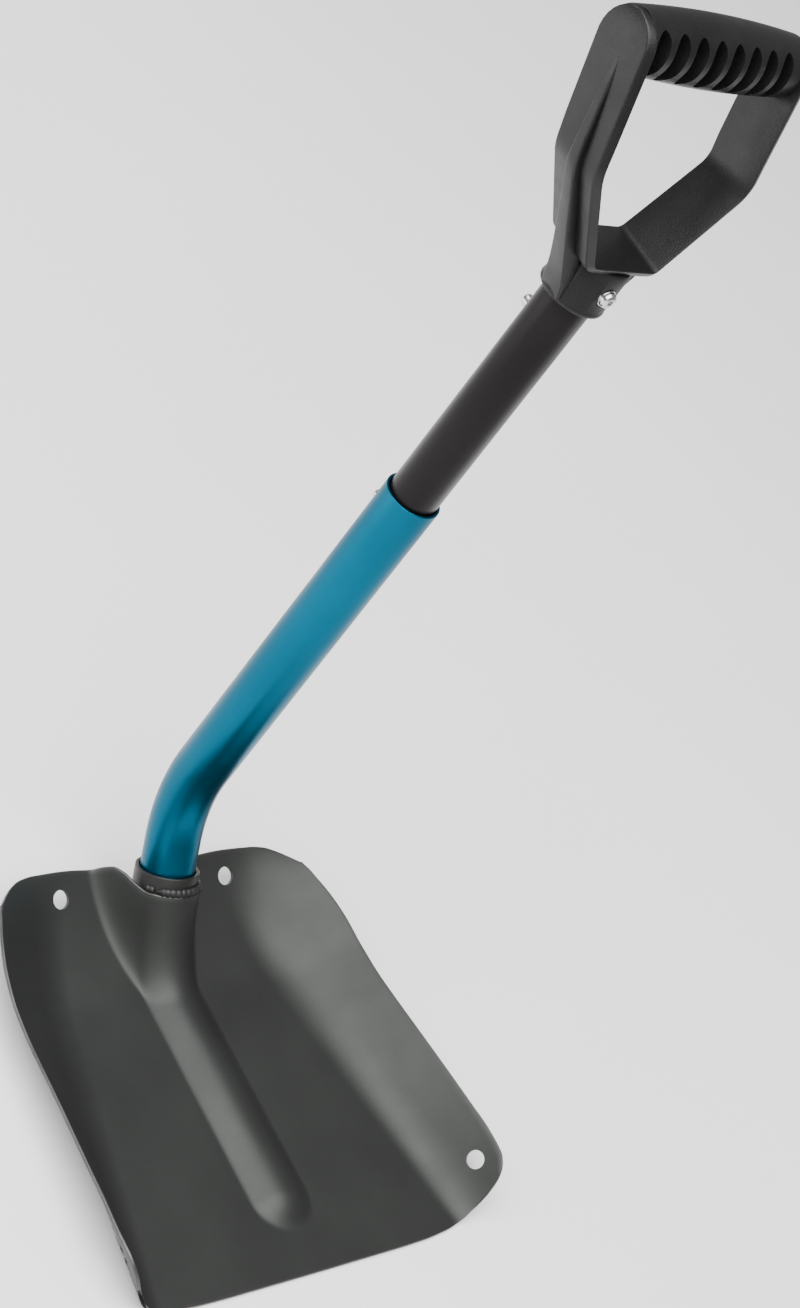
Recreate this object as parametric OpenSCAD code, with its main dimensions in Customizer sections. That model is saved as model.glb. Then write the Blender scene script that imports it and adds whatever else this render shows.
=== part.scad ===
// Avalanche shovel with a pressed sheet blade, a bent two-piece telescoping shaft and a moulded D-handle.
// Millimetres. +Z up, the blade lies on its underside at z = 0, its mouth towards -Y.
// Origin: middle of the footprint on the ground. The upper shaft is vertical at y = shaft_y.

/* [Blade] */

// Sheet thickness of the blade
sheet_t = 2; // [1.2:0.1:3]
// Distance of the upper shaft axis behind the middle of the footprint
shaft_y = 111.38; // [100:0.01:180]
// Height of the central stiffening rib above the floor
rib_h = 8.5; // [4:0.5:14]
// Half width of the central rib at its foot
rib_w = 21; // [12:1:30]
// Diameter of the four corner holes
hole_d = 11; // [6:0.5:14]
// Half spacing of the two rear holes
rear_hole_x = 61; // [40:1:80]
// Half spacing of the two front holes in the side walls
front_hole_x = 128.5; // [120:0.5:134]

/* [Socket] */

// Outer diameter of the welded socket
socket_od = 37.5; // [35:0.5:42]
// Bore of the socket
socket_id = 33.2; // [32.6:0.1:34]
// Length of the socket
socket_l = 42; // [30:1:60]
// Lean of the socket axis from vertical
socket_tilt = 31; // [20:1:40]

/* [Shaft] */

// Outer diameter of the lower shaft tube
lower_od = 32; // [28:0.5:36]
// Wall of the lower shaft tube
lower_wall = 1.5; // [1:0.1:2.5]
// Height of the lower tube's open top above the ground
lower_top_z = 342; // [300:1:400]
// Height of the corner of the bent centreline
bend_z = 88; // [80:1:110]
// Centreline radius of the bend
bend_r = 100; // [60:5:120]
// Outer diameter of the upper shaft tube
upper_od = 28; // [24:0.5:32]
// Wall of the upper shaft tube
upper_wall = 1.5; // [1:0.1:2.5]
// Height of the upper tube's lower end
upper_bottom_z = 286; // [260:1:300]

/* [Snap buttons] */

// Diameter of the snap button heads
button_d = 6.8; // [5:0.1:8]
// Diameter of the button holes in the tubes
button_hole_d = 7.1; // [5.5:0.1:9]
// Distance of the extended-position button below the lower tube's top
button_drop = 19; // [15:1:40]

/* [Handle] */

// Height of the handle collar's lower end
collar_z = 487.6; // [470:0.2:520]
// Outer diameter of the handle collar
collar_od = 36; // [33:0.5:42]
// Backward lean of the grip
handle_lean = 13; // [0:0.5:15]
// Largest diameter of the grip bar
grip_d = 35; // [28:0.5:40]
// Strap width of the handle arms, front to back
strap_w = 34; // [26:1:40]
// Number of finger pockets
pocket_n = 8; // [0:1:10]

/* [Hidden] */
$fn = 64;
st = sin(socket_tilt);
ct = cos(socket_tilt);
lower_id = lower_od - 2 * lower_wall;
upper_id = upper_od - 2 * upper_wall;
rim_d = 45;
weld_d = rim_d + 10;
wy = -weld_d * st;
wz = bend_z - weld_d * ct;
hump_r = socket_od / 2 + 2.55;
travel = 142;
button_z = lower_top_z - button_drop;
button2_z = button_z + travel;
socket_button_d = rim_d + 22;
flange_r = button_d / 2 + 1.3;
clip_gap = 0.85;
grip_z = 82.8;
tangent = bend_r * tan(socket_tilt / 2);
bend_lap = 0.8;
bend_thin = 0.06;
nv = 36;
us = [0, .045, .09, .125, .15, .17, .185, .2, .215, .235, .26, .3, .35, .41, .48, .55, .62, .68, .73, .78, .83, .87, .91, .955, 1];
nh = len(us) - 1;
nu = 2 * nh;

half_w = [[-257, 125.5], [-255, 129.4], [-251.6, 132.6], [-247, 134.8], [-239, 136.4], [-227, 136.7],
  [-208, 135.4], [-187, 134.1], [-147, 131.2], [-119.5, 129.4], [-103, 128.4], [-86, 127.2],
  [-66.4, 124.8], [-49, 120.4], [-37.5, 116.2], [-31.5, 113.8], [-26, 110.7]];
wall_x = [[-264, 137.5], [-239, 136.7], [-227, 136.7], [-208, 135.4], [-187, 134.1], [-147, 131.2],
  [-119.5, 129.4], [-103, 128.4], [-86, 127.2], [-66.4, 124.8], [-49, 120.4], [-37.5, 116.2],
  [-26, 110.7], [-8, 104]];
rim_z = [[-264, 36.6], [-239, 36.6], [-208, 35.8], [-187, 34.7], [-147, 32.3], [-119.5, 30.4],
  [-103, 29.6], [-86, 30.2], [-66, 33], [-49, 35.4], [-37.5, 36.6], [-26, 37.5], [0, 38]];
rear_y = [[0, wy - hump_r * ct], [5, -46.3], [10, -44.6], [15, -41.5], [18, -38.3], [20, -35], [22, -30.8],
  [24, -26.4], [27, -19.8], [31, -13.6], [36, -10.2], [42, -8.8], [60, -8], [80, -8.8], [90, -10.6],
  [97, -14], [104, -19.4], [110.7, -26]];
front_y = [[0, -262], [60, -262], [83, -261.6], [100, -260.2], [116, -257.4], [125.5, -253.5]];

function step_up(e, k) = e < -k ? 0 : (e > k ? e : (e + k) * (e + k) / (4 * k));
function bridge(a, b, k) = max(a, b) + pow(max(k - abs(a - b), 0) / k, 2) * k / 4;
function rear_wall(y) = 0.0054 * pow(max(0, y + 85), 2);
function wall_foot(y) = 89 + 0.2123 * (-108 - y);
function wall_gain(y) = (lookup(y, rim_z) - sheet_t - rear_wall(y)) / step_up(lookup(y, wall_x) - wall_foot(y), 12);
function side_wall(x, y) = wall_gain(y) * step_up(abs(x) - wall_foot(y), 12);
function rib_t(x, y) = norm([x, min(0, y + 215)]) / rib_w;
function rib(x, y) = y > 0 ? 0 : (rib_t(x, y) < 1 ? rib_h * pow(1 - pow(rib_t(x, y), 2), 1.6) : 0);
function round_side(t) = t < 0.9 ? sqrt(1 - t * t) : 0.43589 - 2.0647 * (t - 0.9);
function hump(x, y) = wz + (y - wy) * ct / st + hump_r / st * round_side(abs(x) / hump_r);
function skin(x, y) = bridge(sheet_t + rear_wall(y) + side_wall(x, y) + rib(x, y), hump(x, y), 32);
function u_at(i) = i < nh ? -us[nh - i] : us[i - nh];
function y_at(u, v) = lookup(abs(u) * 110.7, rear_y) * (1 - v) + lookup(abs(u) * 125.5, front_y) * v;
function x_at(u, v) = u * lookup(-26 - 231 * v, half_w);
function spot(u, v) = [x_at(u, v), y_at(u, v) + shaft_y, skin(x_at(u, v), y_at(u, v))];

top = [for (j = [0:nv]) [for (i = [0:nu]) spot(u_at(i), j / nv)]];

function along(j, i) = top[j][min(nu, i + 1)] - top[j][max(0, i - 1)];
function across(j, i) = top[max(0, j - 1)][i] - top[min(nv, j + 1)][i];
function facing(j, i) = let (n = cross(along(j, i), across(j, i))) n / norm(n);
function slope_at(x, y) = [
  (skin(x - 1, y) - skin(x + 1, y)) / 2,
  (skin(x, y - 1) - skin(x, y + 1)) / 2,
  1];

// Places children on the blade's upper skin with +Z along its normal.
module on_skin(x, y) {
  n = slope_at(x, y);
  translate([x, y + shaft_y, skin(x, y)])
    rotate([0, 0, atan2(n[1], n[0])])
      rotate([0, acos(n[2] / norm(n)), 0])
        children();
}

// Frame on the socket axis: origin d mm below the bend's corner, +Z along the axis towards the corner.
module on_socket(d) {
  translate([0, shaft_y - d * st, bend_z - d * ct])
    rotate([-socket_tilt, 0, 0])
      children();
}

module sheet() {
  n = nu + 1;
  m = (nv + 1) * n;
  low = [for (j = [0:nv]) for (i = [0:nu]) top[j][i] - sheet_t * facing(j, i)];
  high = [for (j = [0:nv]) for (i = [0:nu]) top[j][i]];
  quads = concat(
    [for (j = [0:nv - 1]) for (i = [0:nu - 1]) let (a = j * n + i) [a, a + 1, a + n + 1, a + n]],
    [for (j = [0:nv - 1]) for (i = [0:nu - 1]) let (a = m + j * n + i) [a + n, a + n + 1, a + 1, a]],
    [for (i = [0:nu - 1]) [i + 1, i, m + i, m + i + 1]],
    [for (i = [0:nu - 1]) let (a = nv * n + i) [a, a + 1, m + a + 1, m + a]],
    [for (j = [0:nv - 1]) let (a = j * n) [a, a + n, m + a + n, m + a]],
    [for (j = [0:nv - 1]) let (a = j * n + nu) [a + n, a, m + a, m + a + n]]
  );
  tris = [for (q = quads) each [[q[0], q[1], q[2]], [q[0], q[2], q[3]]]];
  polyhedron(points = concat(high, low), faces = tris);
}

module blade_shell() {
  color([0.22, 0.23, 0.22])
    difference() {
      sheet();
      for (s = [-1, 1]) {
        on_skin(s * rear_hole_x, -20)
          cylinder(d = hole_d, h = 24, center = true);
        on_skin(s * front_hole_x, -232)
          cylinder(d = hole_d, h = 24, center = true);
      }
    }
}

module socket_tube() {
  color([0.2, 0.2, 0.2])
    on_socket(rim_d + socket_l)
      difference() {
        cylinder(d = socket_od, h = socket_l);
        translate([0, 0, -1])
          cylinder(d = socket_id, h = socket_l + 2);
        translate([0, 0, socket_l - 22])
          rotate([-90, 0, 0])
            cylinder(d = button_hole_d, h = 30);
      }
}

// Weld bead of triangular section on the socket wall, spanning an angle each side of the front.
module bead(a0, a1, r, h) {
  rotate([0, 0, a0])
    rotate_extrude(angle = a1 - a0)
      polygon([[socket_od / 2, 0], [socket_od / 2 + r, 0], [socket_od / 2 + r * 0.62, h * 0.62], [socket_od / 2, h]]);
}

module socket_front_weld() {
  color([0.3, 0.3, 0.3])
    on_socket(weld_d - 0.06)
      bead(-142, -38, 4.2, 3.6);
}

module socket_side_welds() {
  color([0.3, 0.3, 0.3])
    on_socket(weld_d - 0.06)
      for (a = [-161, -34])
        bead(a, a + 15, 3.4, 3);
}

// Straight length of the lower tube along +Z.
module lower_pipe(h) {
  difference() {
    cylinder(d = lower_od, h = h);
    translate([0, 0, -1])
      cylinder(d = lower_id, h = h + 2);
  }
}

// The bent length of the lower tube, its wall drawn down a little by the bending.
module elbow() {
  translate([0, shaft_y - bend_r, bend_z + tangent])
    rotate([90, 0, 90])
      rotate_extrude(angle = -socket_tilt)
        translate([bend_r, 0])
          difference() {
            circle(d = lower_od - bend_thin);
            circle(d = lower_id + bend_thin);
          }
}

module lower_shaft_tube() {
  color([0.04, 0.5, 0.66])
    difference() {
      union() {
        translate([0, shaft_y, bend_z + tangent - bend_lap])
          lower_pipe(lower_top_z - bend_z - tangent + bend_lap);
        elbow();
        on_socket(rim_d + 36)
          lower_pipe(rim_d + 36 - tangent + bend_lap);
      }
      translate([0, shaft_y, button_z])
        rotate([-90, 0, 0])
          cylinder(d = button_hole_d, h = 30);
      on_socket(socket_button_d)
        rotate([90, 0, 0])
          cylinder(d = button_hole_d, h = 60, center = true);
    }
}

// Height at which a button's flange meets the round bore of a tube.
function seat(inner_r) = sqrt(inner_r * inner_r - flange_r * flange_r) - 0.12;

// Stepped snap button pointing along +Z: dome head, shank and a flange that stays inside the tube.
module snap_button(inner_r, out) {
  r = button_d / 2;
  s = seat(inner_r);
  rotate_extrude()
    polygon(concat(
      [[0, s - 0.75], [flange_r, s - 0.75], [flange_r, s], [r, s], [r, out - 1.6]],
      [for (a = [15:15:90]) [(r - 1.6) + 1.6 * cos(a), out - 1.6 + 1.6 * sin(a)]],
      [[0, out]]));
}

// V-shaped leaf spring across a tube bore, its live leg at +Z under the button, its heel towards -X.
module leaf_clip(half, len) {
  w = 7;
  t = 0.7;
  for (z = [half - t, -half])
    translate([-len, -w / 2, z])
      cube([len + 5, w, t]);
  translate([-len, 0, 0])
    rotate([90, 0, 0])
      difference() {
        cylinder(r = half, h = w, center = true);
        cylinder(r = half - t, h = w + 2, center = true);
        translate([0, -half - 1, -w])
          cube([half + 1, 2 * half + 2, 2 * w]);
      }
}

// Button frame in the vertical shaft: +Z of the child points to the back, -X points down.
module on_shaft_back(z) {
  translate([0, shaft_y, z])
    rotate([-90, 0, 0])
      rotate([0, 0, 90])
        children();
}

module socket_button_rear() {
  color([0.75, 0.76, 0.78])
    on_socket(socket_button_d)
      rotate([-90, 0, 0])
        snap_button(lower_id / 2, socket_od / 2 + 2.4);
}

module socket_button_front() {
  color([0.75, 0.76, 0.78])
    on_socket(socket_button_d)
      rotate([90, 0, 0])
        translate([0, 0, -5.2])
          snap_button(lower_id / 2, socket_od / 2 + 2.4);
}

module socket_clip() {
  color([0.6, 0.62, 0.65])
    on_socket(socket_button_d)
      translate([0, 2.6, 0])
        rotate([-90, 0, 0])
          rotate([0, 0, -90])
            leaf_clip(seat(lower_id / 2) - clip_gap - 2.6, 0.01);
}

module upper_shaft_tube() {
  color([0.1, 0.09, 0.09])
    difference() {
      translate([0, shaft_y, upper_bottom_z])
        cylinder(d = upper_od, h = collar_z + 26 - upper_bottom_z);
      translate([0, shaft_y, upper_bottom_z - 1])
        cylinder(d = upper_id, h = collar_z + 28 - upper_bottom_z);
      for (z = [button_z, button2_z])
        translate([0, shaft_y, z])
          rotate([-90, 0, 0])
            cylinder(d = button_hole_d, h = 20);
      translate([0, shaft_y, collar_z + 14])
        rotate([90, 0, 0])
          cylinder(d = 5.2, h = 40, center = true);
    }
}

// Plastic guide bush on the upper tube's lower end: a collar that runs in the lower tube and a plug in the bore.
module end_bush() {
  color([0.12, 0.12, 0.13])
    translate([0, shaft_y, upper_bottom_z - 6])
      difference() {
        union() {
          cylinder(d = lower_id - 0.12, h = 6);
          translate([0, 0, 6])
            cylinder(d = upper_id, h = 10);
        }
        translate([0, 0, -1])
          cylinder(d = upper_id - 3.4, h = 18);
      }
}

module extend_button() {
  color([0.75, 0.76, 0.78])
    on_shaft_back(button_z)
      snap_button(upper_id / 2, lower_od / 2 + 3.4);
}

module extend_clip() {
  color([0.6, 0.62, 0.65])
    on_shaft_back(button_z)
      leaf_clip(seat(upper_id / 2) - clip_gap, 8);
}

module collapse_button() {
  color([0.75, 0.76, 0.78])
    on_shaft_back(button2_z)
      snap_button(upper_id / 2, lower_od / 2 + 3.4);
}

module collapse_clip() {
  color([0.6, 0.62, 0.65])
    on_shaft_back(button2_z)
      leaf_clip(seat(upper_id / 2) - clip_gap, 8);
}

// Handle frame: pivots on the shaft axis at height z and leans back by an angle.
module leaning(z, angle) {
  translate([0, shaft_y, z])
    rotate([-angle, 0, 0])
      children();
}

// Side profile in x and z, given a width front to back.
module profile(s, w, outline) {
  scale([s, 1, 1])
    rotate([90, 0, 0])
      linear_extrude(height = w, center = true)
        polygon(outline);
}

module arm(s) {
  translate([0, shaft_y - 1, 0])
    profile(s, strap_w - 1, [[0, 513.4], [24.5, 514.2], [22, 518.6], [0, 518.6]]);
  leaning(522, 8)
    translate([0, -1.2, 0])
      profile(s, strap_w - 4, [[20, -9], [24.6, -8], [56.2, 40.5], [57.4, 47], [53, 48], [51.8, 43], [21.5, -4]]);
  leaning(540, handle_lean)
    translate([0, -0.6, 0])
      profile(s, strap_w - 4, [[56.2, 20], [58.6, 60], [59.6, 84], [55.2, 84], [54.4, 60], [51.8, 23]]);
}

// Central web on the outside of the arm, growing into a gusset down to the collar.
module spine(s) {
  leaning(500, 6)
    profile(s, 8, [[12, -8], [18.2, -8], [64.5, 66], [64.2, 74], [55, 72], [53, 60], [20, 12], [12, 6]]);
  leaning(540, handle_lean)
    profile(s, 8, [[55, 20], [64.5, 26], [64.6, 31], [60.4, 72], [57, 72]]);
}

module end_plate(s) {
  leaning(540, handle_lean)
    translate([s * 54.6, 2.4, grip_z])
      rotate([0, s * 90, 0])
        rotate_extrude()
          polygon([[0, 0], [17.2, 0], [17.6, 2], [17.2, 4.2], [15.5, 5.3], [0, 5.3]]);
}

module barrel() {
  r = grip_d / 2;
  leaning(540, handle_lean)
    translate([0, 3.2, grip_z])
      rotate([0, 90, 0])
        rotate_extrude()
          polygon([[0, -56], [r - 2, -56], [r - 0.9, -38], [r - 0.3, -20], [r, 0], [r - 0.3, 20],
            [r - 0.9, 38], [r - 2, 56], [0, 56]]);
}

module pockets() {
  pitch = 12.6;
  leaning(540, handle_lean)
    translate([0, 3.2, grip_z])
      rotate([-14, 0, 0])
        for (k = [0:pocket_n - 1])
          translate([(k - (pocket_n - 1) / 2) * pitch, 0, 0]) {
            translate([0, -3, 2.5])
              rotate([90, 0, 0])
                cylinder(d = 9.2, h = 20);
            translate([-4.6, -23, -22])
              cube([9.2, 20, 24.5]);
          }
}

module d_handle() {
  color([0.09, 0.09, 0.09])
    difference() {
      union() {
        translate([0, shaft_y, collar_z])
          cylinder(d = collar_od, h = 27);
        for (s = [-1, 1]) {
          arm(s);
          spine(s);
          end_plate(s);
        }
        difference() {
          barrel();
          pockets();
        }
      }
      translate([0, shaft_y, collar_z - 1])
        cylinder(d = upper_od, h = 27);
      translate([0, shaft_y, collar_z + 14])
        rotate([90, 0, 0])
          cylinder(d = 5.2, h = 60, center = true);
      translate([0, shaft_y + collar_od / 2 - 0.8, collar_z + 14])
        rotate([-90, 0, 0])
          cylinder(d = 11, h = 6);
      translate([0, shaft_y - collar_od / 2 + 0.8, collar_z + 14])
        rotate([90, 0, 0])
          cylinder(d = 11, h = 6);
    }
}

module handle_bolt() {
  color([0.72, 0.73, 0.75])
    translate([0, shaft_y - collar_od / 2 - 0.2, collar_z + 14])
      rotate([90, 0, 0])
        difference() {
          union() {
            rotate_extrude()
              polygon([[0, 0], [4.6, 0], [4.6, 1.4], [3.9, 2.6], [2.4, 3.2], [0, 3.2]]);
            translate([0, 0, -43])
              cylinder(d = 5, h = 43.5);
          }
          translate([0, 0, 1.4])
            cylinder(d = 3.4, h = 3, $fn = 6);
        }
}

module handle_nut() {
  color([0.72, 0.73, 0.75])
    translate([0, shaft_y + collar_od / 2 + 0.2, collar_z + 14])
      rotate([-90, 0, 0])
        difference() {
          union() {
            cylinder(d = 9.24, h = 3.6, $fn = 6);
            translate([0, 0, 3.5])
              cylinder(d = 7.4, h = 1.3);
          }
          translate([0, 0, -1])
            cylinder(d = 5, h = 8);
        }
}

module handle_washers() {
  color([0.7, 0.71, 0.73])
    for (s = [-1, 1])
      translate([0, shaft_y + s * (collar_od / 2 - 0.3), collar_z + 14])
        rotate([90, 0, 0])
          difference() {
            cylinder(d = 10, h = 1, center = true);
            cylinder(d = 5.2, h = 3, center = true);
          }
}

blade_shell();
socket_tube();
socket_front_weld();
socket_side_welds();
lower_shaft_tube();
socket_button_rear();
socket_button_front();
socket_clip();
upper_shaft_tube();
end_bush();
extend_button();
extend_clip();
collapse_button();
collapse_clip();
d_handle();
handle_bolt();
handle_nut();
handle_washers();
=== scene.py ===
"""Looks of an avalanche shovel: pressed alloy blade, bent telescoping shaft, moulded D-handle.

Lengths are millimetres until to_mesh() turns them into the frame's metres. Y is measured from the
upper shaft's axis and points to the back; X and Z are the frame's own.
"""
import math

import bmesh
import bpy
import numpy as np
from mathutils import Matrix, Vector


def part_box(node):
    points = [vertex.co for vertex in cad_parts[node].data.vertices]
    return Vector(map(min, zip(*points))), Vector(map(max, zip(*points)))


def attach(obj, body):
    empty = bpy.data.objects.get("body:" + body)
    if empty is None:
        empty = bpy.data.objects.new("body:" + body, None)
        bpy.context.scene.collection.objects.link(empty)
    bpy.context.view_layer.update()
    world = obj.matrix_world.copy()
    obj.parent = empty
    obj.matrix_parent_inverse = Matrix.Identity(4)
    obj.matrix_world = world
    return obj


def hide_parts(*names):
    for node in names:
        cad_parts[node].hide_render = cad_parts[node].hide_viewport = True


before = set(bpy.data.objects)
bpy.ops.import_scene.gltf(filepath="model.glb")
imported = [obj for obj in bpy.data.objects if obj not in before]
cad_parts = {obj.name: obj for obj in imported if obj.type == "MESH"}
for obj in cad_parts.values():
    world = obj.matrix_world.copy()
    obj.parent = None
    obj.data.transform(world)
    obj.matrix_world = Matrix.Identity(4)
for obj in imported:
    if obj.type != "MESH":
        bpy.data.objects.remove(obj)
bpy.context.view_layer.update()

MM = 0.001
RIGHT = np.array([1.0, 0, 0])
BACK = np.array([0, 1.0, 0])
UP = np.array([0, 0, 1.0])


def node_box(name):
    """Lowest and highest corner of a CAD node, in millimetres."""
    low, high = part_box(name)
    return np.array(low) / MM, np.array(high) / MM


# ---- sizes read from the frame ----

upper_low, upper_high = node_box("upper_shaft_tube")
lower_low, lower_high = node_box("lower_shaft_tube")
SHAFT_Y = (upper_low[1] + upper_high[1]) / 2
UPPER_R = (upper_high[0] - upper_low[0]) / 2
LOWER_R = (lower_high[0] - lower_low[0]) / 2
UPPER_Z = (upper_low[2], upper_high[2])
LOWER_TOP = lower_high[2]
COLLAR_Z = node_box("d_handle")[0][2]
BOLT_Z = sum(corner[2] for corner in node_box("handle_bolt")) / 2

# ---- tubes, locks and socket ----

WALL = 1.5
BOLT_R = 2.6
BUTTON_R = 3.55
# height of the lower tube's button hole, and the upper tube's slide from one lock to the other
BUTTON_Z = LOWER_TOP - 19
STROKE = 142

# the lower tube leans like its socket up to the bend, then stands upright; both axes meet at the corner
TILT = math.radians(31)
BEND_Z = 88.0
BEND_R = 100.0
TANGENT = BEND_R * math.tan(TILT / 2)
BEND_ARC = BEND_R * TILT
CORNER = np.array([0, 0, BEND_Z])
SOCKET_AXIS = np.array([0, math.sin(TILT), math.cos(TILT)])
SOCKET_BACK = np.array([0, math.cos(TILT), -math.sin(TILT)])

# distances down the socket's axis from the corner
RIM_D = 45.0
LOCK_D = RIM_D + 22
TUBE_END_D = RIM_D + 36

SOCKET_L = 42.0
SOCKET_R = 18.75
SOCKET_BORE = 16.6


# ---- mesh helpers ----

def outward(mesh):
    """Turns every face of a closed mesh to face out."""
    work = bmesh.new()
    work.from_mesh(mesh)
    bmesh.ops.recalc_face_normals(work, faces=work.faces)
    work.to_mesh(mesh)
    work.free()


def shade(mesh, crease):
    """Shades a mesh smooth, with sharp edges above the crease angle."""
    mesh.shade_smooth()
    mesh.set_sharp_from_angle(angle=math.radians(crease))
    mesh.update()


def to_mesh(name, verts, faces, materials, body, crease=35, indices=None):
    """A closed piece from millimetre points, on a body, or on none for a part to be combined."""
    mesh = bpy.data.meshes.new(name)
    points = (np.asarray(verts, float) + [0, SHAFT_Y, 0]) * MM
    mesh.from_pydata(points.tolist(), [], [list(map(int, face)) for face in faces])
    for material in materials:
        mesh.materials.append(material)
    if indices is not None:
        mesh.polygons.foreach_set("material_index", np.asarray(indices, np.int32))
    outward(mesh)
    piece = bpy.data.objects.new(name, mesh)
    bpy.context.collection.objects.link(piece)
    shade(mesh, crease)
    if body:
        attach(piece, body)
    return piece


def skinned(rings, loop=False):
    """Points and faces of a skin through rings of equal length, capped unless it closes on itself."""
    rings = np.asarray(rings, float)
    count, sides = rings.shape[:2]
    faces = []
    for j in range(count if loop else count - 1):
        a = j * sides
        b = ((j + 1) % count) * sides
        faces += [(a + i, a + (i + 1) % sides, b + (i + 1) % sides, b + i) for i in range(sides)]
    if not loop:
        faces.append(tuple(range(sides - 1, -1, -1)))
        faces.append(tuple(range((count - 1) * sides, count * sides)))
    return rings.reshape(-1, 3), faces


def combine(target, others, operation, crease=35):
    """Joins the other pieces to a piece, or cuts them out of it. The others are used up."""
    for other in others:
        modifier = target.modifiers.new("cut", "BOOLEAN")
        modifier.operation = operation
        modifier.solver = "MANIFOLD"
        modifier.object = other
    graph = bpy.context.evaluated_depsgraph_get()
    result = bpy.data.meshes.new_from_object(target.evaluated_get(graph))
    target.modifiers.clear()
    target.data = result
    for other in others:
        bpy.data.objects.remove(other)
    shade(result, crease)


def full_turn(sides):
    """Angles round a circle."""
    return np.linspace(0, 2 * math.pi, sides, endpoint=False)


def round_bar(start, end, radius, sides=48, index=0):
    """A plain round cutter between two points; index is the material of the faces it leaves."""
    start = np.asarray(start, float)
    end = np.asarray(end, float)
    axis = (end - start) / np.linalg.norm(end - start)
    side = np.cross(axis, [1, 0, 0] if abs(axis[0]) < 0.9 else [0, 1, 0])
    side /= np.linalg.norm(side)
    other = np.cross(axis, side)
    turn = full_turn(sides)
    ring = radius * (np.outer(np.cos(turn), side) + np.outer(np.sin(turn), other))
    bar = to_mesh("cutter", *skinned([start + ring, end + ring]), [None, None], None)
    bar.data.polygons.foreach_set("material_index", np.full(len(bar.data.polygons), index, np.int32))
    return bar


def smooth_lookup(x, table):
    """Value of a table at x on a curve that passes through its points without overshoot."""
    xs, ys = np.array(table, float).T
    slope = np.diff(ys) / np.diff(xs)
    same = slope[1:] * slope[:-1] > 0
    total = np.where(same, slope[1:] + slope[:-1], 1)
    inner = np.where(same, 2 * slope[1:] * slope[:-1] / total, 0)
    tangent = np.concatenate([[slope[0]], inner, [slope[-1]]])
    x = np.clip(np.asarray(x, float), xs[0], xs[-1])
    k = np.clip(np.searchsorted(xs, x) - 1, 0, len(xs) - 2)
    h = xs[k + 1] - xs[k]
    t = (x - xs[k]) / h
    return (ys[k] * (1 + 2 * t) * (1 - t) ** 2 + tangent[k] * h * t * (1 - t) ** 2
            + ys[k + 1] * t * t * (3 - 2 * t) + tangent[k + 1] * h * t * t * (t - 1))


# ---- materials ----

def node_tools(material):
    """Node tree, main shader and object coordinates of a material."""
    material.use_nodes = True
    tree = material.node_tree
    shader = tree.nodes["Principled BSDF"]
    place = tree.nodes.new("ShaderNodeTexCoord").outputs["Object"]
    return tree, shader, place


def noise(tree, place, scale, detail=3.0, rough=0.5, stretch=None):
    if stretch:
        mapping = tree.nodes.new("ShaderNodeMapping")
        mapping.inputs["Scale"].default_value = stretch
        tree.links.new(place, mapping.inputs["Vector"])
        place = mapping.outputs["Vector"]
    texture = tree.nodes.new("ShaderNodeTexNoise")
    texture.inputs["Scale"].default_value = scale
    texture.inputs["Detail"].default_value = detail
    texture.inputs["Roughness"].default_value = rough
    tree.links.new(place, texture.inputs["Vector"])
    return texture.outputs["Fac"]


def ramp(tree, value, low, high):
    """Colour between low and high over the middle of a value's range."""
    node = tree.nodes.new("ShaderNodeValToRGB")
    node.color_ramp.elements[0].position = 0.3
    node.color_ramp.elements[1].position = 0.7
    node.color_ramp.elements[0].color = (*low, 1)
    node.color_ramp.elements[1].color = (*high, 1)
    tree.links.new(value, node.inputs["Fac"])
    return node.outputs["Color"]


def spread(tree, value, low, high, start=0.3, end=0.7):
    """Number between low and high while a value goes from start to end."""
    node = tree.nodes.new("ShaderNodeMapRange")
    for name, number in (("From Min", start), ("From Max", end), ("To Min", low), ("To Max", high)):
        node.inputs[name].default_value = number
    tree.links.new(value, node.inputs["Value"])
    return node.outputs["Result"]


def blend_colour(tree, factor, colour, other):
    """Mixes a fixed other colour into a colour."""
    node = tree.nodes.new("ShaderNodeMix")
    node.data_type = "RGBA"
    node.inputs[7].default_value = (*other, 1)
    tree.links.new(factor, node.inputs[0])
    tree.links.new(colour, node.inputs[6])
    return node.outputs[2]


def bump(tree, shader, height, distance):
    node = tree.nodes.new("ShaderNodeBump")
    node.inputs["Strength"].default_value = 1.0
    node.inputs["Distance"].default_value = distance * MM
    tree.links.new(height, node.inputs["Height"])
    tree.links.new(node.outputs["Normal"], shader.inputs["Normal"])


def surface(name, dark, light, metal, rough, grain, depth, cloud, specular=0.5, edge=None, stretch=None):
    """A cloudy two-tone finish with a fine grain, and edges lightened where edge gives their colour: partly
    wear, partly a painted highlight along the edges.
    """
    material = bpy.data.materials.new(name)
    tree, shader, place = node_tools(material)
    shader.inputs["Metallic"].default_value = metal
    shader.inputs["Specular IOR Level"].default_value = specular
    fine = noise(tree, place, grain, 2.0, 0.6, stretch)
    colour = ramp(tree, noise(tree, place, cloud, 4.0), dark, light)
    speck = spread(tree, fine, 0.0, 0.35, 0.35, 0.75)
    colour = blend_colour(tree, speck, colour, tuple(min(1.0, 1.6 * c + 0.004) for c in light))
    # painted edge highlight, partly wear as well: convex edges, found by pointiness, are blended towards
    # the edge colour
    if edge:
        sharp = tree.nodes.new("ShaderNodeNewGeometry").outputs["Pointiness"]
        colour = blend_colour(tree, spread(tree, sharp, 0.0, 0.8, 0.53, 0.62), colour, edge)
    tree.links.new(colour, shader.inputs["Base Color"])
    patchy = spread(tree, noise(tree, place, cloud * 2.3, 3.0), rough - 0.05, rough + 0.05)
    tree.links.new(patchy, shader.inputs["Roughness"])
    bump(tree, shader, fine, depth)
    return material


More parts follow.
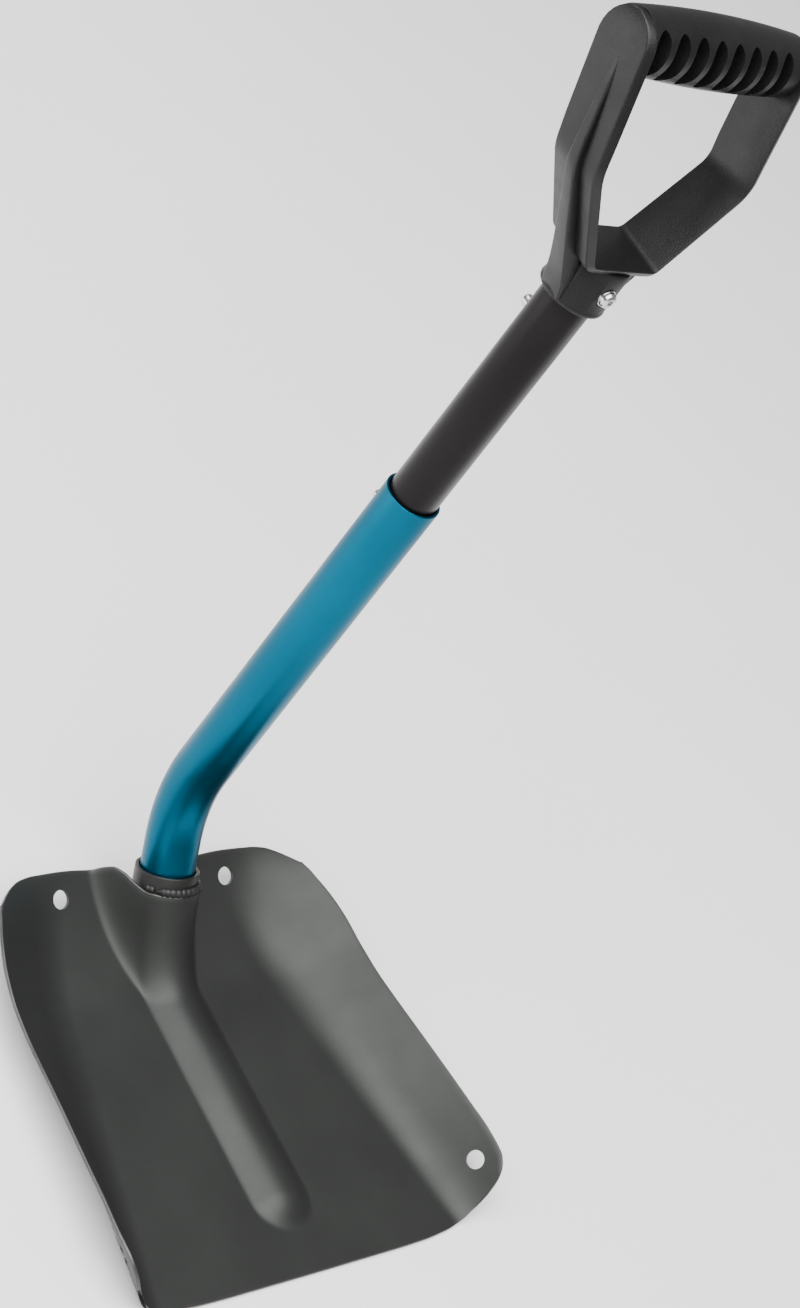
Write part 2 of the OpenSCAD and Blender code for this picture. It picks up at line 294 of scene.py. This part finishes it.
blade_finish = surface("blade_anodised", (0.033, 0.0345, 0.033), (0.040, 0.042, 0.040),
                       metal=0.75, rough=0.52, grain=2600, depth=0.045, cloud=9, specular=0.35)
blade_edge = surface("blade_cut_edge", (0.055, 0.054, 0.052), (0.085, 0.083, 0.080),
                     metal=0.8, rough=0.45, grain=2200, depth=0.03, cloud=60)
socket_finish = surface("socket_anodised", (0.024, 0.024, 0.0235), (0.032, 0.0325, 0.0315),
                        metal=0.7, rough=0.4, grain=2600, depth=0.03, cloud=20, specular=0.35)
weld_finish = surface("weld_bead", (0.018, 0.018, 0.018), (0.034, 0.035, 0.034),
                      metal=0.7, rough=0.5, grain=1500, depth=0.08, cloud=160)
blue_finish = surface("blue_anodised", (0.000, 0.074, 0.128), (0.000, 0.090, 0.152),
                      metal=0.95, rough=0.33, grain=3200, depth=0.02, cloud=12, specular=0.3)
black_finish = surface("brown_black_anodised", (0.0050, 0.0036, 0.0042), (0.0080, 0.0060, 0.0066),
                       metal=0.5, rough=0.32, grain=3200, depth=0.02, cloud=14, specular=0.2)
# the plastic's lighter edge colour is a painted highlight along the handle's edges, partly wear as well
plastic = surface("moulded_plastic", (0.0030, 0.0028, 0.0031), (0.0056, 0.0053, 0.0057),
                  metal=0.0, rough=0.40, grain=1150, depth=0.13, cloud=30, specular=0.27,
                  edge=(0.018, 0.018, 0.0185))
bush_finish = surface("bush_plastic", (0.008, 0.008, 0.009), (0.014, 0.014, 0.015),
                      metal=0.0, rough=0.4, grain=1500, depth=0.04, cloud=60)
zinc = surface("zinc_plate", (0.40, 0.40, 0.39), (0.60, 0.61, 0.61),
               metal=1.0, rough=0.2, grain=900, depth=0.03, cloud=220)
button_steel = surface("button_steel", (0.42, 0.43, 0.43), (0.62, 0.63, 0.63),
                       metal=1.0, rough=0.2, grain=1200, depth=0.02, cloud=260)
spring_steel = surface("spring_steel", (0.25, 0.25, 0.26), (0.40, 0.40, 0.41),
                       metal=1.0, rough=0.3, grain=1400, depth=0.02, cloud=120, stretch=(1, 1, 0.1))


# ---- blade ----

SHEET = 2.0

# the flat floor's half width at FLOOR_Y, and how much it loses per millimetre towards the back
FLOOR_HALF = 89
FLOOR_Y = -108
FLOOR_TAPER = 0.2123
FOOT_BLEND = 12
REAR_START = -85
REAR_CURVE = 0.0054

# rib down the middle
RIB_H = 8.5
RIB_W = 21.0
RIB_NOSE = -215.0

# hump round the socket's axis: round up to the share HUMP_FLANK of its radius, then straight flanks
HUMP_R = SOCKET_R + 2.55
HUMP_D = RIM_D + 10
HUMP_Y = -HUMP_D * math.sin(TILT)
HUMP_Z = BEND_Z - HUMP_D * math.cos(TILT)
HUMP_FLANK = 0.9
HUMP_BLEND = 32

# hole centres as x and y, mirrored in x
HOLES = [(61.0, -20.0), (128.5, -232.0)]
HOLE_R = 5.5

# side edges as y and half width, front to rear
SIDE_FRONT = -257
SIDE_REAR = -26
FRONT_CORNER = [(SIDE_FRONT, 125.5), (-255, 129.4), (-251.6, 132.6), (-247, 134.8), (-239, 136.4)]
SIDE = [(-227, 136.7), (-208, 135.4), (-187, 134.1), (-147, 131.2), (-119.5, 129.4), (-103, 128.4),
        (-86, 127.2), (-66.4, 124.8), (-49, 120.4), (-37.5, 116.2)]
HALF_WIDTH = FRONT_CORNER + SIDE + [(-31.5, 113.8), (SIDE_REAR, 110.7)]
# where the side walls reach the rim, as y and x, and the rim's height there
WALL_X = [(-264, 137.5), (-239, 136.7)] + SIDE + [(SIDE_REAR, 110.7), (-8, 104)]
RIM_HEIGHT = [(-264, 36.6), (-239, 36.6), (-208, 35.8), (-187, 34.7), (-147, 32.3), (-119.5, 30.4),
              (-103, 29.6), (-86, 30.2), (-66, 33), (-49, 35.4), (-37.5, 36.6), (-26, 37.5), (0, 38)]
# rear edge from the notch in front of the socket to the rear corner, and front edge, as x and y
REAR_EDGE = [(0, HUMP_Y - HUMP_R * math.cos(TILT)), (5, -46.3), (10, -44.6), (15, -41.5), (18, -38.3),
             (20, -35), (22, -30.8), (24, -26.4), (27, -19.8), (31, -13.6), (36, -10.2), (42, -8.8),
             (60, -8), (80, -8.8), (90, -10.6), (97, -14), (104, -19.4), (110.7, SIDE_REAR)]
FRONT_EDGE = [(0, -262), (60, -262), (83, -261.6), (100, -260.2), (116, -257.4), (125.5, -253.5)]


def step_up(e, k):
    """Nothing below zero and e above it, with a smooth start over k to both sides."""
    return np.where(e < -k, 0, np.where(e > k, e, (e + k) ** 2 / (4 * k)))


def bridge(a, b, k):
    """The higher of two heights, with a fillet where they differ by less than k."""
    return np.maximum(a, b) + (np.maximum(k - np.abs(a - b), 0) / k) ** 2 * k / 4


def rear_wall(y):
    return REAR_CURVE * np.maximum(0, y - REAR_START) ** 2


def wall_foot(y):
    return FLOOR_HALF + FLOOR_TAPER * (FLOOR_Y - y)


def side_wall(x, y):
    foot = wall_foot(y)
    climb = smooth_lookup(y, RIM_HEIGHT) - SHEET - rear_wall(y)
    gain = climb / step_up(smooth_lookup(y, WALL_X) - foot, FOOT_BLEND)
    return gain * step_up(np.abs(x) - foot, FOOT_BLEND)


def rib(x, y):
    t = np.hypot(x, np.minimum(0, y - RIB_NOSE)) / RIB_W
    return np.where(t < 1, RIB_H * np.clip(1 - t * t, 0, 1) ** 1.6, 0)


def hump(x, y):
    t = np.abs(x) / HUMP_R
    level = math.sqrt(1 - HUMP_FLANK ** 2)
    flank = level - HUMP_FLANK / level * (t - HUMP_FLANK)
    side = np.where(t < HUMP_FLANK, np.sqrt(np.clip(1 - t * t, 0, 1)), flank)
    return HUMP_Z + (y - HUMP_Y) / math.tan(TILT) + HUMP_R / math.sin(TILT) * side


def skin(x, y):
    """Height of the blade's upper face."""
    dish = SHEET + rear_wall(y) + side_wall(x, y) + rib(x, y)
    return bridge(dish, hump(x, y), HUMP_BLEND)


def skin_normal(x, y):
    n = np.array([skin(x - 0.5, y) - skin(x + 0.5, y), skin(x, y - 0.5) - skin(x, y + 0.5), 1.0])
    return n / np.linalg.norm(n)


def blade_grid():
    """Points of the upper and lower face and the upper face's normals, in rows from rear to front."""
    # columns crowd where the rear edge dips round the socket
    half = np.interp(np.linspace(0, 1, 101), [0, 0.14, 0.5, 1], [0, 0.13, 0.36, 1])
    u, v = np.meshgrid(np.concatenate([-half[:0:-1], half]), np.linspace(0, 1, 141))
    x = u * smooth_lookup(SIDE_REAR + (SIDE_FRONT - SIDE_REAR) * v, HALF_WIDTH)
    rear = smooth_lookup(np.abs(u) * REAR_EDGE[-1][0], REAR_EDGE)
    front = smooth_lookup(np.abs(u) * FRONT_EDGE[-1][0], FRONT_EDGE)
    y = rear * (1 - v) + front * v
    top = np.stack([x, y, skin(x, y)], -1)
    normal = np.cross(np.gradient(top, axis=1), -np.gradient(top, axis=0))
    normal /= np.linalg.norm(normal, axis=-1, keepdims=True)
    return top, top - SHEET * normal, normal


def rounded_rim(edge, inner, top, low, normal):
    """Loops of points that carry the upper face's edge round to the lower face's."""
    bulge = 0.6
    out = top[edge] - top[inner]
    out -= (out * normal[edge]).sum(1, keepdims=True) * normal[edge]
    out /= np.linalg.norm(out, axis=1, keepdims=True)
    middle = (top[edge] + low[edge]) / 2
    half = (top[edge] - low[edge]) / 2
    turns = np.radians([30, 60, 90, 120, 150])
    return [middle + half * math.cos(a) + out * bulge * math.sin(a) for a in turns]


def blade_holes():
    """Cutters along the sheet's normal."""
    cutters = []
    for offset, y in HOLES:
        for x in (-offset, offset):
            centre = np.array([x, y, float(skin(x, y))])
            reach = 9 * skin_normal(x, y)
            cutters.append(round_bar(centre - reach, centre + reach, HOLE_R, 64, 1))
    return cutters


def blade():
    top, low, normal = blade_grid()
    rows, cols = top.shape[:2]
    count = rows * cols
    at = np.arange(count).reshape(rows, cols)
    quads = np.stack([at[:-1, :-1], at[:-1, 1:], at[1:, 1:], at[1:, :-1]], -1).reshape(-1, 4)
    faces = [tuple(q) for q in quads] + [tuple(q[::-1] + count) for q in quads]
    top, low, normal = (grid.reshape(-1, 3) for grid in (top, low, normal))

    edge = np.concatenate([at[0, :-1], at[:-1, -1], at[-1, :0:-1], at[:0:-1, 0]])
    inner = at[np.clip(edge // cols, 1, rows - 2), np.clip(edge % cols, 1, cols - 2)]
    bends = rounded_rim(edge, inner, top, low, normal)
    around = len(edge)
    loops = [edge, *[2 * count + j * around + np.arange(around) for j in range(len(bends))], edge + count]
    rim = []
    for a, b in zip(loops[:-1], loops[1:]):
        rim += [(a[i], a[(i + 1) % around], b[(i + 1) % around], b[i]) for i in range(around)]

    verts = np.concatenate([top, low, *bends])
    indices = [0] * len(faces) + [1] * len(rim)
    piece = to_mesh("blade", verts, faces + rim, [blade_finish, blade_edge], "blade", 40, indices)
    combine(piece, blade_holes(), "DIFFERENCE", 40)
    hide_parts("blade_shell")


# ---- round parts ----

def lower_path(s):
    """Centre and two cross directions at distance s along the lower tube, from its lower end."""
    bend_start = TUBE_END_D - TANGENT
    if s <= bend_start:
        return CORNER - (TUBE_END_D - s) * SOCKET_AXIS, RIGHT, SOCKET_BACK
    if s <= bend_start + BEND_ARC:
        lean = TILT - (s - bend_start) / BEND_R
        back = np.array([0, math.cos(lean), -math.sin(lean)])
        hub = np.array([0, -BEND_R, BEND_Z + TANGENT])
        return hub + BEND_R * back, RIGHT, back
    return np.array([0, 0, BEND_Z + TANGENT + s - bend_start - BEND_ARC]), RIGHT, BACK


def straight(base, axis, back):
    """A path function for a straight tube from a base point."""
    return lambda s: (base + s * axis, RIGHT, back)


def turned(path, outline, sides=96):
    """Points and faces of a closed ring outline, (distance along, radius), carried round a path."""
    turn = full_turn(sides)
    rings = []
    for s, r in outline:
        centre, a, b = path(s)
        rings.append(centre + r * (np.outer(np.cos(turn), a) + np.outer(np.sin(turn), b)))
    return skinned(rings, loop=True)


def tube_outline(start, end, outer, inner, stations=(), lip=0.35):
    """Outside up, over a rounded rim, inside down and round the lower rim."""
    quarter = np.radians([0, 30, 60, 90])
    out = [(s, outer) for s in [start + lip, *stations, end - lip]]
    over = [(end - lip * (1 - math.sin(a)), outer - lip * (1 - math.cos(a))) for a in quarter[1:]]
    into = [(end - lip * (1 - math.cos(a)), inner + lip * (1 - math.sin(a))) for a in quarter]
    back = [(s, inner) for s in list(stations)[::-1]]
    under = [(start + lip * (1 - math.sin(a)), inner + lip * (1 - math.cos(a))) for a in quarter]
    home = [(start + lip * (1 - math.cos(a)), outer - lip * (1 - math.sin(a))) for a in quarter[:-1]]
    return out + over + into + back + under + home


def across(z, y_from, y_to, radius):
    """Cutter from front to back through the upright shaft at height z."""
    return round_bar([0, y_from, z], [0, y_to, z], radius)


def socket_lock(y_from, y_to):
    """Cutter for the socket lock's button, square to the leaning axis."""
    lock = CORNER - LOCK_D * SOCKET_AXIS
    return round_bar(lock + y_from * SOCKET_BACK, lock + y_to * SOCKET_BACK, BUTTON_R)


def lower_tube():
    bend_start = TUBE_END_D - TANGENT
    length = bend_start + BEND_ARC + LOWER_TOP - BEND_Z - TANGENT
    stations = [bend_start, *(bend_start + BEND_ARC * np.arange(1, 24) / 24), bend_start + BEND_ARC]
    verts, faces = turned(lower_path, tube_outline(0, length, LOWER_R, LOWER_R - WALL, stations))
    piece = to_mesh("lower_tube", verts, faces, [blue_finish], "lower_shaft")
    combine(piece, [across(BUTTON_Z, 8, 22, BUTTON_R), socket_lock(-24, 24)], "DIFFERENCE")
    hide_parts("lower_shaft_tube")


def upper_tube():
    path = straight(np.zeros(3), UP, BACK)
    verts, faces = turned(path, tube_outline(*UPPER_Z, UPPER_R, UPPER_R - WALL, lip=0.25))
    piece = to_mesh("upper_tube", verts, faces, [black_finish], "upper_shaft")
    cutters = [across(z, 6, 20, BUTTON_R) for z in (BUTTON_Z, BUTTON_Z + STROKE)]
    cutters.append(across(BOLT_Z, -20, 20, BOLT_R))
    combine(piece, cutters, "DIFFERENCE")
    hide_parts("upper_shaft_tube")


def socket():
    path = straight(CORNER - (RIM_D + SOCKET_L) * SOCKET_AXIS, SOCKET_AXIS, SOCKET_BACK)
    verts, faces = turned(path, tube_outline(0, SOCKET_L, SOCKET_R, SOCKET_BORE, lip=0.5))
    piece = to_mesh("socket", verts, faces, [socket_finish], "blade")
    combine(piece, [socket_lock(8, 26)], "DIFFERENCE")
    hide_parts("socket_tube")


def bead(name, start, end, reach, node):
    """A rippled weld run round the socket between two angles; minus 90 degrees is its front."""
    ripple_pitch = 3.0
    base = CORNER - (HUMP_D - 1.0) * SOCKET_AXIS
    count = int(abs(end - start) * 1.6)
    turn = full_turn(18)
    rings = []
    for i in range(count + 1):
        t = i / count
        a = math.radians(start + (end - start) * t)
        radial = math.cos(a) * RIGHT + math.sin(a) * SOCKET_BACK
        taper = min(1, 8 * t + 0.25, 8 * (1 - t) + 0.25)
        ripple = 1 + 0.2 * abs(math.sin(a * SOCKET_R / ripple_pitch * math.pi))
        size = reach * taper * ripple / 2
        middle = base + (SOCKET_R + 0.3 * reach) * radial + 0.8 * SOCKET_AXIS
        oval = np.outer(np.cos(turn), radial) + 1.35 * np.outer(np.sin(turn), SOCKET_AXIS)
        rings.append(middle + size * oval)
    piece = to_mesh(name, *skinned(rings), [weld_finish], "blade", 60)
    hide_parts(node)


# ---- handle ----

# the grip's own up and back, leaning from the shaft's
LEAN = math.radians(13)
GRIP_UP = np.array([0, math.sin(LEAN), math.cos(LEAN)])
GRIP_BACK = np.array([0, math.cos(LEAN), -math.sin(LEAN)])
GRIP = np.array([0, 21.7, 620.0])
GRIP_HALF = 56

# end plates, round at the top about this point and its mirror image
PLATE = np.array([57.2, 20.3, 618.0])
PLATE_R = 16.8
PLATE_T = 5.0

POCKETS = 8
POCKET_PITCH = 12.6
POCKET_HALF = 4.5
POCKET_SHIFT = -5.0

# corners of the band from its middle to the grip: x, y, z, width and thickness
STRAP = [(0, -0.8, 516.2, 33.0, 4.4), (23.0, -0.8, 516.4, 33.0, 4.4), (54.3, 4.8, 563.4, 32.4, 4.6),
         (56.9, 13.8, 600.0, 33.4, 5.2)]
CREASE_Z = STRAP[2][2]
CREASE_WIDE = STRAP[2][3]

# web on the outside of an arm: height, inner x, outer x, middle y and thickness
SPINE = [(489.0, 12, 17.4, -0.2, 15.0), (492, 12, 18.9, -0.2, 15.4), (497, 12, 20.8, -0.2, 15.0),
         (506, 13, 26.0, 0.0, 13.2), (516, 22, 32.2, 0.4, 11.6), (530, 31, 41.0, 1.2, 9.8),
         (545, 40, 49.8, 2.4, 8.6), (556, 48, 56.6, 3.5, 7.8), (561, 51, 59.0, 4.1, 7.4),
         (565, 53, 60.2, 4.7, 7.2), (569, 54, 60.6, 5.5, 7.0), (575, 54, 60.6, 7.2, 6.8),
         (590, 55, 60.2, 11.6, 6.2), (600, 56, 59.9, 14.4, 5.4), (612, 56, 59.5, 17.6, 3.6)]

# collar as distance up from its lower end and radius, with a rolled lip at the bottom
COLLAR = [(0, 14.3), (0, 17.6), (0.5, 18.2), (1.4, 18.4), (2.3, 18.2), (2.8, 18.0), (25.6, 18.0),
          (26.8, 17.4), (27.2, 16.4), (27.2, 14.0), (0.3, 14.0)]
COLLAR_BORE = 14.0
SEAT_R = 5.6


def bar_section(centre, thick_dir, wide_dir, thick, wide, corner, bevel=0.0):
    """A rectangle with rounded corners, its front outer edge cut back by a bevel."""
    corner = min(corner, thick / 2 * 0.98, wide / 2 * 0.98)
    points = []
    for quarter in range(4):
        diagonal = math.radians(90 * quarter + 45)
        corner_x = math.copysign(thick / 2 - corner, math.cos(diagonal))
        corner_y = math.copysign(wide / 2 - corner, math.sin(diagonal))
        for a in np.radians(90 * quarter + np.array([0, 30, 60, 90])):
            px = corner_x + corner * math.cos(a)
            py = corner_y + corner * math.sin(a)
            outer = 0.5 + px / thick
            cut = bevel * outer if py < 0 else 0
            points.append(centre + px * thick_dir + (py + cut) * wide_dir)
    return points


def soft_corner(before, corner, after, reach):
    """Stations of the band's turn at a corner, starting and ending reach away from it."""
    a = corner + (before - corner) * reach / np.linalg.norm((before - corner)[:3])
    b = corner + (after - corner) * reach / np.linalg.norm((after - corner)[:3])
    return [a * (1 - t) ** 2 + corner * 2 * t * (1 - t) + b * t * t for t in np.linspace(0, 1, 6)]


def strap():
    """Cross-sections of the band from its middle to the top of the right end plate."""
    middle, foot, crease, top = (np.array(corner, float) for corner in STRAP)
    line = [middle, *soft_corner(middle, foot, crease, 4.0), *soft_corner(foot, crease, top, 6.0)]
    for z in (578.0, 590.0, 602.0, 612.0):
        t = (z - CREASE_Z) / (PLATE[2] - CREASE_Z)
        centre = crease[:3] * (1 - t) + PLATE * t
        line.append(np.array([*centre, CREASE_WIDE + (2 * PLATE_R - CREASE_WIDE) * t ** 0.8, PLATE_T]))
    stations = []
    for x, y, z, wide, thick in line:
        lean = np.interp(z, [518, 555, 575], [0, 0.10, LEAN])
        stations.append((np.array([x, y, z]), np.array([0, math.cos(lean), -math.sin(lean)]), wide, thick))
    for a in np.radians([0, 12, 24, 36, 48, 58, 67, 75, 82, 87]):
        centre = PLATE + PLATE_R * math.sin(a) * GRIP_UP
        stations.append((centre, GRIP_BACK, 2 * PLATE_R * math.cos(a), PLATE_T))
    along = np.gradient(np.array([station[0] for station in stations]), axis=0)
    rings = []
    for (centre, back, wide, thick), direction in zip(stations, along):
        lift = math.atan2(direction[2], direction[0])
        outside = np.array([math.sin(lift), 0, -math.cos(lift)])
        rings.append(bar_section(centre, outside, back, thick, wide, 0.9, min(2.2, 0.2 * wide)))
    return rings


def spine(side):
    """Cross-sections of the web on the outside of one arm."""
    rings = []
    for z, inner, outer, y, thick in SPINE:
        centre = np.array([side * (inner + outer) / 2, y, z])
        rings.append(bar_section(centre, side * RIGHT, BACK, outer - inner, thick, 1.3))
    return rings


def grip():
    """Cross-sections of the barrelled bar between the end plates."""
    turn = full_turn(120)
    ring = np.outer(np.cos(turn), GRIP_BACK) + np.outer(np.sin(turn), GRIP_UP)
    rings = []
    for x in np.linspace(-GRIP_HALF, GRIP_HALF, 57):
        radius = max(17.5 - 2.3 * (abs(x) / GRIP_HALF) ** 2, 15)
        rings.append(GRIP + [x, 0, 0] + radius * ring)
    return rings


def pocket(x):
    """Cutter for one finger pocket: a pointed arch over a round foot, open to the front and slightly up."""
    tilt = LEAN + math.radians(14)
    back = np.array([0, math.cos(tilt), -math.sin(tilt)])
    up = np.array([0, math.sin(tilt), math.cos(tilt)])
    foot_turns = np.radians(np.linspace(-90, 0, 9))
    arch_turns = np.radians(np.linspace(0, 90, 12))
    foot = [(POCKET_HALF * math.cos(a), -9 + 5.5 * math.sin(a)) for a in foot_turns]
    arch = [(POCKET_HALF * math.cos(a) ** 1.2, 9.0 * math.sin(a) ** 0.9) for a in arch_turns]
    right = foot + arch
    outline = right + [(-px, pz) for px, pz in right[-2:0:-1]]
    ring = np.array([GRIP + [x + px, 0, 0] + (pz - 1.5) * up for px, pz in outline])
    return skinned([ring - 3.0 * back, ring - 26.0 * back])


def handle():
    path = straight(np.array([0, 0, COLLAR_Z]), UP, BACK)
    body = to_mesh("handle", *turned(path, COLLAR), [plastic], "upper_shaft")
    half = strap()
    mirrored = [[point * [-1, 1, 1] for point in ring] for ring in half[:0:-1]]
    parts = [mirrored + half, spine(-1), spine(1), grip()]
    joined = [to_mesh("handle_part", *skinned(part), [plastic], None) for part in parts]
    combine(body, joined, "UNION", 32)

    places = (np.arange(POCKETS) - (POCKETS - 1) / 2) * POCKET_PITCH + POCKET_SHIFT
    cuts = [to_mesh("cutter", *pocket(x), [None], None) for x in places]
    cuts.append(round_bar([0, 0, COLLAR_Z - 2], [0, 0, COLLAR_Z + 25.9], COLLAR_BORE, 96))
    # seats for the bolt's washers in front and at the back, then the bolt's own hole
    cuts += [across(BOLT_Z, -30, -17.2, SEAT_R), across(BOLT_Z, 17.2, 30, SEAT_R)]
    cuts.append(across(BOLT_Z, -18, 18, BOLT_R))
    combine(body, cuts, "DIFFERENCE", 32)
    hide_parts("d_handle")


# ---- CAD nodes shown as they are ----

def finish_nodes():
    finishes = {
        "end_bush": bush_finish,
        "socket_button_rear": button_steel,
        "socket_button_front": button_steel,
        "extend_button": button_steel,
        "collapse_button": button_steel,
        "socket_clip": spring_steel,
        "extend_clip": spring_steel,
        "collapse_clip": spring_steel,
        "handle_bolt": zinc,
        "handle_nut": zinc,
        "handle_washers": zinc,
    }
    for name, material in finishes.items():
        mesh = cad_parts[name].data
        mesh.materials.clear()
        mesh.materials.append(material)


# ---- stage, in metres ----

def area_light(name, place, aim, size, power):
    data = bpy.data.lights.new(name, "AREA")
    data.shape = "RECTANGLE"
    data.size, data.size_y = size
    data.energy = power
    light = bpy.data.objects.new(name, data)
    bpy.context.collection.objects.link(light)
    light.location = place
    light.rotation_mode = "QUATERNION"
    light.rotation_quaternion = (Vector(aim) - Vector(place)).to_track_quat("-Z", "Y")


def pale_floor():
    mesh = bpy.data.meshes.new("floor")
    mesh.from_pydata([(-9, -9, 0), (9, -9, 0), (9, 9, 0), (-9, 9, 0)], [], [(0, 1, 2, 3)])
    floor = bpy.data.objects.new("floor", mesh)
    floor.location.z = -0.0005
    bpy.context.collection.objects.link(floor)
    pale = bpy.data.materials.new("pale_floor")
    tree, shader, place = node_tools(pale)
    colour = ramp(tree, noise(tree, place, 3.0), (0.88, 0.88, 0.88), (0.91, 0.91, 0.91))
    tree.links.new(colour, shader.inputs["Base Color"])
    shader.inputs["Roughness"].default_value = 0.9
    mesh.materials.append(pale)


def studio():
    pale_floor()
    world = bpy.data.worlds.new("studio")
    bpy.context.scene.world = world
    world.use_nodes = True
    world.node_tree.nodes["Background"].inputs["Color"].default_value = (1, 1, 1, 1)
    world.node_tree.nodes["Background"].inputs["Strength"].default_value = 0.38
    area_light("overhead", (-1.35, -0.35, 3.0), (-0.2, 0, 0), (4.2, 3.6), 400)
    area_light("low_left", (-1.6, 1.0, 0.16), (0, 0.1, 0.5), (1.4, 0.28), 8)


def camera():
    data = bpy.data.cameras.new("camera")
    data.sensor_width = 36
    data.lens = 71.99
    data.clip_end = 100
    right = Vector((0.7124345, -0.4738215, 0.5176199))
    up = Vector((0.0509380, 0.7705971, 0.6352837))
    back = Vector((-0.6998874, -0.4262316, 0.5731355))
    eye = bpy.data.objects.new("camera", data)
    bpy.context.collection.objects.link(eye)
    turn = Matrix((right, up, back)).transposed().to_4x4()
    eye.matrix_world = Matrix.Translation((-0.94943, -0.52069, 1.05648)) @ turn
    bpy.context.scene.camera = eye


blade()
lower_tube()
upper_tube()
socket()
bead("front_weld", -142, -38, 3.6, "socket_front_weld")
bead("side_weld_left", -161, -146, 3.0, "socket_side_welds")
bead("side_weld_right", -34, -19, 3.0, "socket_side_welds")
handle()
finish_nodes()
studio()
camera()
